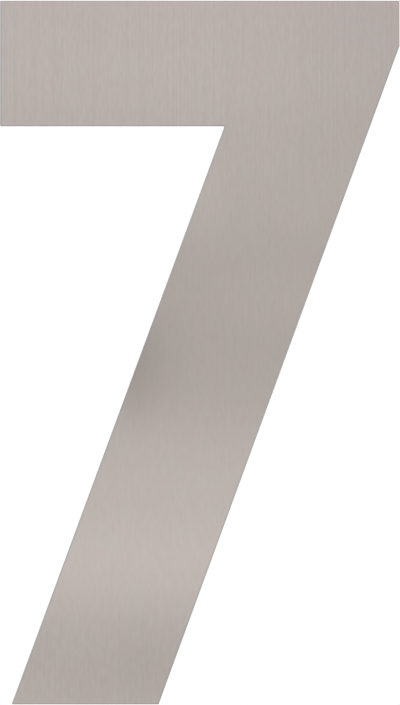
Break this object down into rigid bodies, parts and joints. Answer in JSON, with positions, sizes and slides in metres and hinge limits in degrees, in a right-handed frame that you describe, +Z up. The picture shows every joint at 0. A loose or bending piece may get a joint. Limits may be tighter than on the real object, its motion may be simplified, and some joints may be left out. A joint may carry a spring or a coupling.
{
  "type": "house number",
  "caption": "Flat numeral plate in brushed steel that sits flush on a wall, held out of sight by threaded studs in its back.",
  "frame": {"origin": "middle of the digit's height and width, on its flat back face, which lies on the wall", "axes": "+Z up along the digit's height, +Y into the wall along the studs, so the face looks along -Y, and +X to the reader's right"},
  "size_m": [0.1136, 0.031, 0.2],
  "materials": {
    "brushed_stainless": "brushed upright on the face, mill finish on the back, cut edges on the rim",
    "stud_stainless": "rolled thread, bright"
  },
  "bodies": {
    "root": {"digit_plate": "brushed_stainless", "fixing_studs": "stud_stainless"}
  },
  "joints": []
}
